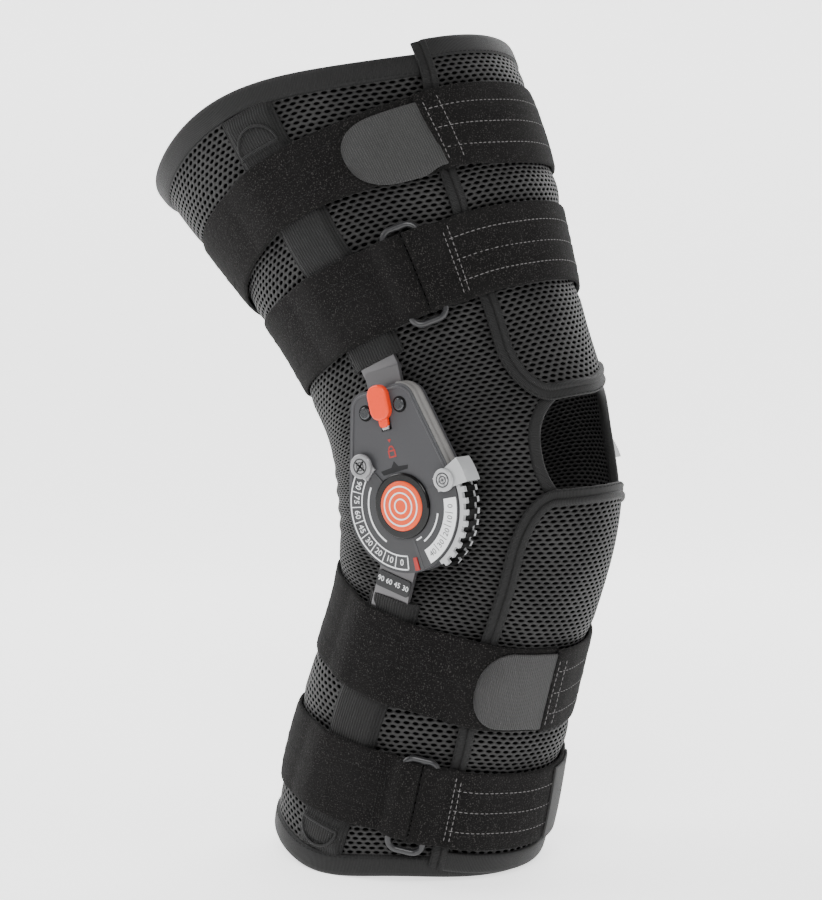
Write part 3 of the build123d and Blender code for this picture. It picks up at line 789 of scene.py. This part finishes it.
def flap_rise(s, turn):
    """Height of the front flaps and their edge piping above the sleeve."""
    turn = (turn + 90) % 360 - 90
    total = 0.0
    for limb, slant, inside in (
        ("thigh", thigh_slant((s - 40) / 165), ease(s, 36, 40)),
        ("calf", 0.0, ease(-s, 3, 7)),
    ):
        near, far = FLAP_NEAR[limb] + slant, FLAP_FAR[limb]
        panel = ease(turn, near - 1.5, near + 1) * ease(-turn, -far, -far + 3)
        near_ridge = ease(turn, near - 3, near - 1) * ease(-turn, -near - 8, -near - 5)
        far_ridge = ease(turn, far - 8, far - 5) * ease(-turn, -far - 3, -far - 1)
        total = total + inside * (2.4 * panel + 1.9 * (near_ridge + far_ridge))
    return total


def pocket(limb, side):
    """Webbing pocket with sewn edges, a half-moon window and a cord round it."""
    low, high = POCKETS[limb]
    window, towards = POCKET_WINDOW[limb], 1 if limb == "thigh" else -1
    mouth, closed = (low, high) if limb == "thigh" else (high, low)
    s = spaced(low, high, 1.3, 3.0)[:, None]
    across = spaced(-POCKET_HALF, POCKET_HALF, 1.0, 3.0)[None, :]
    s, across = np.broadcast_arrays(s, across)
    off = np.abs(across)
    crown = ease(-off, -14.6, -10.6) * 2.6 + 0.9
    crown = crown * (0.35 + 0.65 * ease(np.abs(closed - s), 0.5, 7.0))
    crown = crown + 1.0 * ease(-np.abs(s - mouth), -9, 0) * ease(-off, -11, -8)
    beyond = (s - window) * towards
    patch = ease(-np.hypot(across, beyond), -10.9, -10.0) * ease(beyond, -0.6, 0.3)
    hem = ease(-np.abs(beyond + 1.2), -1.3, -0.5) * ease(-off, -14.4, -13.6)
    crown = crown + 0.75 * patch + 0.6 * hem
    base = sleeve_lift(s, pocket_turn("lateral", s, across)) * 0.4
    turn = pocket_turn(side, s, across)
    outer, inner = skin(s, turn, base + crown), skin(s, turn, -0.4)
    if side == "medial":
        outer, inner = outer[:, ::-1], inner[:, ::-1]
    node = side + "_" + limb + "_pocket"
    piece = grid_solid(node + "_cover", outer, inner, cloth_uv(outer), WEBBING)
    riding(piece, limb, "pocket_webbing", node)
    half = np.linspace(0, np.pi, 60)
    lines = [(np.linspace(low + 2, high - 2, 120), np.full(120, line), 1.55) for line in (-13.2, 13.2)]
    lines.append((window + towards * 9.2 * np.sin(half), 9.2 * np.cos(half), 4.5))
    lines.append((np.full(30, window - towards * 2.4), np.linspace(-13, 13, 30), 4.1))
    rows = [sewn(line, pocket_turn(side, line, off), lift, 2.0, 0.9, 0.5, 0.35) for line, off, lift in lines]
    arc = np.linspace(0, np.pi, 40)
    s = np.concatenate([window + towards * 10.8 * np.sin(arc), np.full(12, window - towards * 0.4)])
    turn = pocket_turn(side, s, np.concatenate([10.8 * np.cos(arc), np.linspace(-10.4, 10.4, 12)]))
    cord = sweep(node + "_cover_cord", skin(s, turn, 3.3), outward(s, turn), capsule(1.5, 1.6), BINDING, True)
    riding(cord, limb, "pocket_webbing")
    riding(join_rows(node + "_stitches", rows, DARK_THREAD), limb, "pocket_webbing")


# Straps -------------------------------------------------------------------------------------------------

def draped(under, turns, reach=7.0):
    """Height that a tight strap takes over what lies under it."""
    step = float(np.median(np.diff(turns)))
    width = max(1, int(round(reach / step)))
    padded = np.pad(under, ((0, 0), (width, width)), mode="edge")
    spread = np.max([padded[:, k : k + under.shape[1]] for k in range(2 * width + 1)], axis=0)
    padded = np.pad(spread, ((0, 0), (width, width)), mode="edge")
    smooth = np.mean([padded[:, k : k + under.shape[1]] for k in range(2 * width + 1)], axis=0)
    return np.maximum(smooth, under)


def strap_height(s, turn):
    return np.maximum(sleeve_lift(s, turn), 0) + np.maximum(pocket_rise(s, turn), flap_rise(s, turn))


def end_inset(distance):
    """Turn that a distance along a strap takes."""
    return math.degrees(distance / STRAP_RADIUS)


def strap(name, part, start, end, start_ring=False, end_ring=False, extra=None, stitches=THREAD):
    """One length of loop webbing, with three stitch rows. A ring end folds round the ring's bar."""
    turns = spaced(start, end, 2.0, end_inset(2.6))
    across = spaced(0, 1, 0.07, 0.045)
    s = strap_rows(name, turns, across[:, None])
    under = draped(strap_height(s, turns) + (0.0 if extra is None else extra(turns)), turns) + STRAP_GAP
    from_start = np.radians(turns - start) * STRAP_RADIUS
    from_end = np.radians(end - turns) * STRAP_RADIUS
    fold = ease(-from_start, -17, -8) * start_ring + ease(-from_end, -17, -8) * end_ring
    half = STRAP_THICK / 2 + (RING_FOLD - STRAP_THICK / 2) * fold
    end_round = rounded(from_start, 2.7 if start_ring else 1.0) * rounded(from_end, 2.7 if end_ring else 1.0)
    low, high = strap_edges(name, turns)
    to_edge = np.minimum(across[:, None], 1 - across[:, None]) * (high - low)
    shape = half * end_round * rounded(to_edge, 1.3)
    fuzz = 0.12 * np.sin(turns * 1.7 + s * 0.9) + 0.1 * np.sin(turns * 3.1 - s * 1.3)
    middle = (under + STRAP_THICK / 2) * (1 - fold) + RING_HEIGHT * fold + fuzz + 0.25 * ease(to_edge, 0, 6)
    node = name + "_" + part
    laid_cloth(node, s, turns, middle - shape, middle + shape, VELOUR, "strap_loop", node)
    top = middle + half
    rows = []
    first = start + (14.0 if start_ring else 2.0)
    last = end - (14.0 if end_ring else 2.0)
    line = np.linspace(first, last, int((last - first) * 2))
    for share in (0.24, 0.5, 0.76):
        k = int(np.argmin(np.abs(across - share)))
        rows.append(sewn(strap_rows(name, line, share), line, np.interp(line, turns, top[k]) - 0.05))
    share = np.linspace(0.08, 0.92, 40)
    for where, sign, ring_end in ((start, 1, start_ring), (end, -1, end_ring)):
        for inset in ((17.0, 19.5) if ring_end else (2.2, 8.2)):
            turn = np.full(40, where + sign * end_inset(inset))
            column = int(np.argmin(np.abs(turns - turn[0])))
            rows.append(sewn(strap_rows(name, turn, share), turn, np.interp(share, across, top[:, column])))
    fabric(join_rows(node + "_stitches", rows, stitches), "strap_loop")


def hook_tab(name, strap_name, low_inset, high_inset, start, end, tuck, round_start):
    """Grey hook pad pressed on a strap, rounded at its free end and tucked under the next length."""
    turns = spaced(start, end, 1.5, end_inset(2.0))
    across = spaced(0, 1, 0.06, 0.04)
    low, high = strap_edges(strap_name, turns)
    hidden = ease(turns, tuck - 8, tuck)
    low, high = low + low_inset * (1 - hidden) + 1.5 * hidden, high - high_inset
    if round_start:
        share = np.clip(np.radians(turns - start) * STRAP_RADIUS / 17.0, 0, 1)
        narrow = (high - low) / 2 * (1 - (1 - (1 - share) ** 2.3) ** (1 / 2.3))
        low, high = low + narrow, high - narrow
    s = low + (high - low) * across[:, None]
    under = draped(strap_height(s, turns), turns) + STRAP_GAP + STRAP_THICK + 0.3
    distance = np.minimum(np.radians(turns - start), np.radians(end - turns)) * STRAP_RADIUS
    to_edge = np.minimum(across, 1 - across)[:, None] * 37
    shape = PAD_THICK / 2 * rounded(distance, 0.8) * rounded(to_edge, 0.8)
    middle = under - 2.1 * ease(turns, tuck, tuck + 4) + PAD_THICK / 2
    under = strap_name + ("_back" if round_start else "_front")
    laid_cloth(name + "_pad", s, turns, middle - shape, middle + shape, HOOK, "hook_tape", name)


# Hinges -------------------------------------------------------------------------------------------------

class Side:
    """Places on one hinge: angles run from backwards (0) over the top (90) to the front (180)."""

    def __init__(self, name):
        self.name = name
        self.out = -1.0 if name == "lateral" else 1.0

    def point(self, x, radius, angle):
        turn = np.radians(angle)
        return np.stack(np.broadcast_arrays(self.out * x, radius * np.cos(turn), radius * np.sin(turn)), -1)

    def plate(self, low, high, outline):
        """Flat plate from x low to high with a closed outline of (y, z) points."""
        n = len(outline)
        points = [(self.out * x, y, z) for x in (low, high) for y, z in outline]
        bottom, top = list(range(n)), [n + k for k in range(n)]
        faces = [bottom[::-1], top] + [[k, (k + 1) % n, n + (k + 1) % n, n + k] for k in range(n)]
        area = sum(a[0] * b[1] - b[0] * a[1] for a, b in zip(outline, outline[1:] + outline[:1]))
        if (area > 0) == (self.out < 0):
            faces = [f[::-1] for f in faces]
        return points, faces

    def arc(self, inner, outer, start, end, low, high):
        turns = np.linspace(start, end, max(6, int(abs(end - start) / 3)))
        return self.plate(low, high, circle((0, 0), outer, turns) + circle((0, 0), inner, turns[::-1]))

    def outlined(self, inner, outer, start, end, low, high, line=0.55):
        """Narrow frame round an arc band."""
        tick = math.degrees(line / outer)
        return [
            self.arc(outer - line, outer, start, end, low, high),
            self.arc(inner, inner + line, start, end, low, high),
            self.arc(inner, outer, start, start + tick, low, high),
            self.arc(inner, outer, end - tick, end, low, high),
        ]

    def text(self, string, size, x, radius, angle, spin=0.0):
        """Figures on the dial, upright along a radius."""
        place = Vector(self.point(x, radius, angle))
        right, up = Vector((0, self.out, 0)), Vector((0, 0, 1))
        turned = math.radians(spin)
        across = right * math.cos(turned) + up * math.sin(turned)
        rise = up * math.cos(turned) - right * math.sin(turned)
        return glyphs(string, size, Matrix((across, rise, across.cross(rise))).transposed(), place)

    def add(self, name, body, slot, rows, material):
        riding(join_rows(self.name + "_" + name, rows, material), body, slot)


def glyphs(string, size, turn, place):
    """Points in mm and faces of thin raised figures."""
    curve = bpy.data.curves.new("figures", "FONT")
    curve.body, curve.size = string, size
    curve.align_x, curve.align_y = "CENTER", "CENTER"
    curve.extrude, curve.resolution_u = 0.05, 3
    holder = bpy.data.objects.new("figures", curve)
    bpy.context.scene.collection.objects.link(holder)
    bpy.context.view_layer.update()
    mesh = bpy.data.meshes.new_from_object(holder.evaluated_get(bpy.context.evaluated_depsgraph_get()))
    points = [tuple(turn @ v.co + place) for v in mesh.vertices]
    faces = [list(p.vertices) for p in mesh.polygons]
    bpy.data.objects.remove(holder)
    bpy.data.meshes.remove(mesh)
    return points, faces


def circle(middle, radius, angles):
    """(y, z) points round a middle."""
    return [(middle[0] + radius * math.cos(t), middle[1] + radius * math.sin(t)) for t in np.radians(angles)]


def arm_point(across, up):
    """(y, z) of a place on the thigh arm, across towards the back."""
    return across * math.cos(ARM) + up * math.sin(ARM), -across * math.sin(ARM) + up * math.cos(ARM)


def arm_outline(*places):
    return [arm_point(*p) for p in places]


def arm_block(half, low, high, top_half=None):
    """Four corners of a block on the arm, half wide below and top_half above."""
    wide = half if top_half is None else top_half
    return arm_outline((-half, low), (half, low), (wide, high), (-wide, high))


def cover_line(inset, count=60):
    """(y, z) outline of the cover: round the dial, then the front and back upper corners."""
    big, small = DIAL_RADIUS - inset, COVER_CORNER - inset
    x, up = COVER_CORNER_AT
    turn = math.atan2(x, up) + math.acos((big - small) / math.hypot(x, up))
    dial = [(big * math.sin(t), big * math.cos(t)) for t in np.linspace(turn, 2 * math.pi - turn, count)]
    front = [(-x + small * math.sin(t), up + small * math.cos(t)) for t in np.linspace(-turn, 0, count // 4)]
    back = [(x + small * math.sin(t), up + small * math.cos(t)) for t in np.linspace(0, turn, count // 4)]
    return arm_outline(*dial, *front, *back)


def dial_print(side):
    low, high = DIAL_TOP, DIAL_TOP + PRINT
    white = side.outlined(23.6, 30.6, -97, 27, low, high, 0.6)
    white.append(side.arc(19.6, 20.4, -62, 22, low, high))
    white.append(side.arc(19.6, 20.4, 186, 232, low, high))
    white.append(side.arc(17.2, 17.9, 232, 243, low, high))
    figures = ("0", "10", "20", "30", "45", "60", "75", "90")
    for k, figure in enumerate(figures):
        angle = -89 + k * 15.2
        white.append(side.text(figure, 4.3, high, 27.1, angle, side.out * (angle + 90)))
        if k:
            white.append(side.arc(24.2, 30.2, angle - 8.1, angle - 7.2, low, high))
    side.add("dial_scale", "thigh", "dial_face", white, WHITE)
    band = [side.arc(23.6, 30.6, 168, 238, low, high)]
    side.add("dial_band", "thigh", "dial_face", band, WHITE)
    black = []
    for k, figure in enumerate(("0", "10", "20", "30", "40")):
        angle = 176 + k * 13.5
        black.append(side.text(figure, 4.0, high + 0.01, 27.1, angle, side.out * (angle - 270)))
        if k:
            black.append(side.arc(24.2, 28.6, angle - 7.2, angle - 6.5, high, high + 0.06))
    side.add("dial_figures", "thigh", "dial_face", black, PRINT_BLACK)
    pointer = [side.arc(25.0, 31.2, 251, 255.5, low, high + 0.5)]
    side.add("dial_pointer", "thigh", "dial_face", pointer, PRINT_RED)
    # Painted shade: a thin black arc raised on the dial stands in for the groove beside the pointer.
    groove = [side.arc(16.4, 31.4, 246.5, 250.5, low, high)]
    side.add("dial_groove", "thigh", "dial_face", groove, PRINT_BLACK)


def cap_print(side):
    """Plain concentric rings on the pivot cap."""
    rings = [side.arc(r, r + 0.7, 0, 360, CAP_TOP - 0.3, CAP_TOP + PRINT) for r in (3.0, 6.0, 9.0)]
    side.add("cap_rings", "thigh", "orange_plastic", rings, WHITE)


def cover_details(side):
    """Raised lip, a dark plate of painted shade for the moulded peak recess, a light plate of painted
    highlight for the glint below the lock, and the printed padlock of a cover.
    """
    edge = np.array([(side.out * (FACE - 0.25), y, z) for y, z in cover_line(1.7, 100)])
    normals = np.tile([side.out, 0.0, 0.0], (len(edge), 1))
    lip = sweep(side.name + "_cover_lip", edge, normals, capsule(1.3, 0.6, 10, 2.4), COVER, True)
    riding(lip, "thigh", "cover_plastic")
    cover_wall(side)
    face = FACE + 0.04
    # Painted shade: the peak is a flat dark plate, barely raised above the face, standing for the shade in
    # the moulded recess.
    peak = ((-7.0, 16.6), (7.5, 16.0), (8.6, 18.2), (2.2, 18.8), (0.0, 21.6), (-2.0, 18.8), (-7.6, 18.4))
    peak = [side.plate(FACE - 1.0, face, arm_outline(*peak))]
    side.add("cover_recess", "thigh", "cover_plastic", peak, RECESS_SHADE)
    # Painted highlight: a light clear plate riding on the lock, just below its tip, stands in for a glint.
    glint = [side.plate(face + 0.2, face + 1.0, arm_block(1.6, 36.9, 38.6, 2.0))]
    side.add("lock_window", side.name + "_lock", "clear_plastic", glint, CLEAR)
    body, hole = arm_block(2.1, 23.4, 27.0), arm_block(1.4, 24.1, 26.3)
    outlines = [[body[k], body[k - 3], hole[k - 3], hole[k]] for k in range(4)]
    for k in range(8):
        a, b = math.pi * k / 8, math.pi * (k + 1) / 8
        shackle = ((1.7, a), (1.7, b), (1.1, b), (1.1, a))
        outlines.append(arm_outline(*((r * math.cos(t), 27.0 + r * 1.25 * math.sin(t)) for r, t in shackle)))
    outlines.append(arm_outline((0.0, 30.6), (1.0, 32.2), (-1.0, 32.2)))
    rows = [side.plate(FACE, face + 0.08, outline) for outline in outlines]
    side.add("lock_mark", "thigh", "cover_plastic", rows, PRINT_RED)


def cover_wall(side):
    """Lighter ridged band on the cover's front side wall, from the rack up over the top."""
    outline = np.array(cover_line(0.0, 160))
    angle = np.degrees(np.arctan2(outline[:, 1], outline[:, 0]))
    order = [k for k in range(len(outline)) if 84 < angle[k] <= 152]
    line = outline[sorted(order, key=lambda k: angle[k])]
    fine = np.linspace(0, len(line) - 1, 90)
    line = np.stack([np.interp(fine, np.arange(len(line)), line[:, k]) for k in range(2)], 1)
    centres = np.array([(side.out * 65.3, y, z) for y, z in line])
    along = unit(np.gradient(centres, axis=0))
    normals = np.cross(along, np.array([-1.0, 0, 0]))
    if (normals * centres).sum() < 0:
        normals = -normals
    ridges = [(-4.2, -0.2), (-4.2, 0.35), (-2.9, 0.75), (-1.5, 0.75), (-0.9, 0.25), (-0.2, 0.25)]
    ridges += [(0.4, 0.85), (2.6, 0.85), (3.6, 0.45), (4.0, -0.2)]
    riding(sweep(side.name + "_cover_wall", centres, normals, ridges, SIDE_WALL), "thigh", "cover_plastic")


def rivet_rims(side):
    rows = []
    for across in (-RIVET_AT[0], RIVET_AT[0]):
        ring = circle(arm_point(across, RIVET_AT[1]), 3.9, np.linspace(0, 360, 32, endpoint=False))
        rows.append(side.plate(FACE - 0.5, FACE + PRINT, ring))
    side.add("rivet_seats", "thigh", "cover_plastic", rows, BLACK)


def stop_marks(side):
    """Moulded rings and slots on the heads of the two stops."""
    for body, angle, radius, size, spin, slot_shade in (
        ("flexion_limiter", 37.0, 29.0, 3.9, 0.6, BLACK),
        ("extension_limiter", 150.0, 28.0, 3.6, 1.1, FROSTED),
    ):
        _, y, z = side.point(STOP_TOP, radius, angle)
        turns = np.linspace(0, 360, 25)
        rows = []
        for inner, outer in ((size - 0.6, size), (size * 0.42, size * 0.56)):
            for pair in zip(turns, turns[1:]):
                outline = circle((y, z), outer, pair) + circle((y, z), inner, pair[::-1])
                rows.append(side.plate(STOP_TOP - 0.2, STOP_TOP + 0.1, outline))
        side.add(body + "_rings", side.name + "_" + body, "clear_plastic", rows, RING_WIRE)
        rows = []
        # Cross slots are thin flat plates darker than the head: painted shade of the slot, black for the
        # flexion stop's deep cross hub.
        for a in (spin, spin + math.pi / 2):
            c, d = math.cos(a), math.sin(a)
            corners = ((-size * 0.8, -0.5), (size * 0.8, -0.5), (size * 0.8, 0.5), (-size * 0.8, 0.5))
            slot = [(y + u * c - v * d, z + u * d + v * c) for u, v in corners]
            rows.append(side.plate(STOP_TOP - 0.2, STOP_TOP + 0.05, slot))
        side.add(body + "_slots", side.name + "_" + body, "clear_plastic", rows, slot_shade)


def plate_figures(side):
    """Figures on the plate below the dial."""
    rows = []
    for k, figure in enumerate(("30", "45", "60", "90")):
        across = (k - 1.5) * 4.9
        radius = math.hypot(NUMBER_PLATE_AT, across)
        angle = -90 + CALF_ARM_TILT + math.degrees(math.atan2(across, NUMBER_PLATE_AT))
        rows.append(side.text(figure, 3.7, NUMBER_PLATE_TOP, radius, angle, side.out * CALF_ARM_TILT))
    side.add("plate_figures", "calf", "dial_face", rows, WHITE)


CAD_FINISH = {
    "thigh_upright": BAR, "calf_upright": BAR, "back_plate": BAR, "hinge_cover": COVER, "hinge_pin": STEEL,
    "dial_plate": DIAL, "cap_bezel": GLOSS_BLACK, "pivot_cap": CAP_ORANGE, "rivets": STEEL,
    "stop_rack": BLACK, "rack_rails": CLEAR, "flexion_stop": FROSTED, "extension_stop": CLEAR,
    "lock_slide": ORANGE, "scale_plate": PLATE, "lower_thigh_ring": RING_WIRE, "lower_calf_ring": RING_WIRE,
}


def finish_cad():
    for name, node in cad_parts.items():
        for ending, material in CAD_FINISH.items():
            if name.endswith(ending):
                node.data.materials.clear()
                node.data.materials.append(material)


def build_brace():
    sleeve()
    kneecap_binding()
    rim_binding("thigh_rim_tape", thigh_rim, "thigh_rim_binding", 1)
    rim_binding("calf_rim_tape", calf_rim, "calf_rim_binding", -1)
    for limb in ("thigh", "calf"):
        flap(limb)
        for side in ("lateral", "medial"):
            pocket(limb, side)

    def over_back(turns):
        return 2.2 * ease(turns, 160, 165)

    def over_pad(end):
        return lambda turns: 2.0 * ease(-turns, -end - 8, -end - 2) + over_back(turns)

    strap("upper_thigh_strap", "front", 52, 171, extra=over_pad(52))
    strap("upper_thigh_strap", "back", 163, 412, stitches=DARK_THREAD)
    strap("lower_thigh_strap", "front", 30.2, 171, start_ring=True, extra=over_back)
    strap("lower_thigh_strap", "back", 163, 389.8, end_ring=True, stitches=DARK_THREAD)
    strap("upper_calf_strap", "front", 77, 171, extra=over_pad(77))
    strap("upper_calf_strap", "back", 163, 438, stitches=DARK_THREAD)
    strap("lower_calf_strap", "front", 30.2, 171, start_ring=True, extra=over_back)
    strap("lower_calf_strap", "back", 163, 389.8, end_ring=True, stitches=DARK_THREAD)
    hook_tab("upper_thigh_hook_tab", "upper_thigh_strap", -2.0, 4.0, 24.5, 56, 52, True)
    hook_tab("upper_calf_hook_tab", "upper_calf_strap", 2.0, 2.0, 42.5, 81, 77, True)
    hook_tab("lower_calf_hook_tab", "lower_calf_strap", 1.0, 1.0, 97, 123, 500, False)
    for name in ("lateral", "medial"):
        side = Side(name)
        dial_print(side)
        cap_print(side)
        cover_details(side)
        rivet_rims(side)
        stop_marks(side)
        plate_figures(side)
    finish_cad()


# Stage --------------------------------------------------------------------------------------------------

def area_light(name, place, aim, size, power):
    light = bpy.data.lights.new(name, "AREA")
    light.energy, light.size = power, size
    holder = bpy.data.objects.new(name, light)
    holder.location = place
    holder.rotation_euler = (Vector(aim) - Vector(place)).to_track_quat("-Z", "Y").to_euler()
    bpy.context.scene.collection.objects.link(holder)


def stage():
    floor_z = cad_box[0][2] * 1000 - 2.5
    turn = np.radians(-55)
    view = np.array([math.sin(turn), -math.cos(turn)])
    side = np.array([view[1], -view[0]])
    run = np.concatenate([np.linspace(-1500, 900, 13), 900 + 500 * np.sin(np.linspace(0.1, np.pi / 2, 14))])
    rise = np.concatenate([np.zeros(13), 500 - 500 * np.cos(np.linspace(0.1, np.pi / 2, 14))])
    run, rise = np.append(run, 1400), np.append(rise, 2600)
    points = []
    for along, up in zip(run, rise):
        for across in (-2600.0, 2600.0):
            xy = -view * along + side * across
            points.append((xy[0], xy[1], floor_z + up))
    faces = [[2 * k, 2 * k + 1, 2 * k + 3, 2 * k + 2] for k in range(len(run) - 1)]
    paper = moulded("paper", (0.86, 0.86, 0.86), 0.8, 60.0, 0.00001, 0.01)
    glow = paper.node_tree.nodes["Principled BSDF"].inputs
    glow["Emission Color"].default_value = (1, 1, 1, 1)
    glow["Emission Strength"].default_value = 1.5
    make_piece("backdrop", points, faces, paper)
    area_light("key", (-1.35, -0.75, 1.25), (0, 0, 0.02), 0.9, 30)
    area_light("fill", (0.5, -1.6, 0.5), (0, 0, 0.0), 1.2, 12)
    area_light("rim", (-0.6, 1.3, 1.0), (0, 0.05, 0.05), 0.9, 22)
    area_light("far_side", (1.4, 0.3, 0.7), (0, 0, 0), 1.2, 16)
    world = bpy.data.worlds.new("studio")
    bpy.context.scene.world = world
    world.use_nodes = True
    world.node_tree.nodes["Background"].inputs[0].default_value = (1, 1, 1, 1)
    world.node_tree.nodes["Background"].inputs[1].default_value = 0.3


def camera():
    lens = bpy.data.cameras.new("camera")
    lens.lens = 89.0
    holder = bpy.data.objects.new("camera", lens)
    shift = Vector((-0.021, 0.030, -0.004))
    turn = math.radians(35)
    holder.location = Vector((-1.1 * math.cos(turn), -1.1 * math.sin(turn), 0.130)) + shift
    aim = Vector((0, 0, 0.025)) + shift
    holder.rotation_euler = (aim - holder.location).to_track_quat("-Z", "Y").to_euler()
    bpy.context.scene.collection.objects.link(holder)
    bpy.context.scene.camera = holder


camera()
stage()
build_brace()
